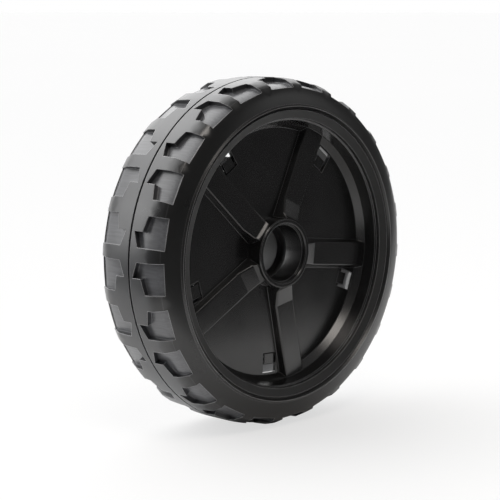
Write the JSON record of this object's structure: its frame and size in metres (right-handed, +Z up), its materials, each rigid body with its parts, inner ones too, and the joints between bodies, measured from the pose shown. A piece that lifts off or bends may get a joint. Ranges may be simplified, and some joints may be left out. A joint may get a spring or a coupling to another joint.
{
  "type": "mower wheel",
  "caption": "Black moulded plastic mower wheel with a moulded-in block tread, a recessed spoked disc with snap windows, and a stepped hub bore for a stub axle.",
  "frame": {"origin": "wheel's centre: where the spin axis crosses the middle of the width", "axes": "Y along the spin axis with the machine side toward -Y, +Z up, X forward"},
  "size_m": [0.2, 0.0596, 0.2],
  "materials": {
    "black_plastic": "satin"
  },
  "bodies": {
    "root": {"inner_half": "black_plastic", "outer_half": "black_plastic"}
  },
  "joints": []
}
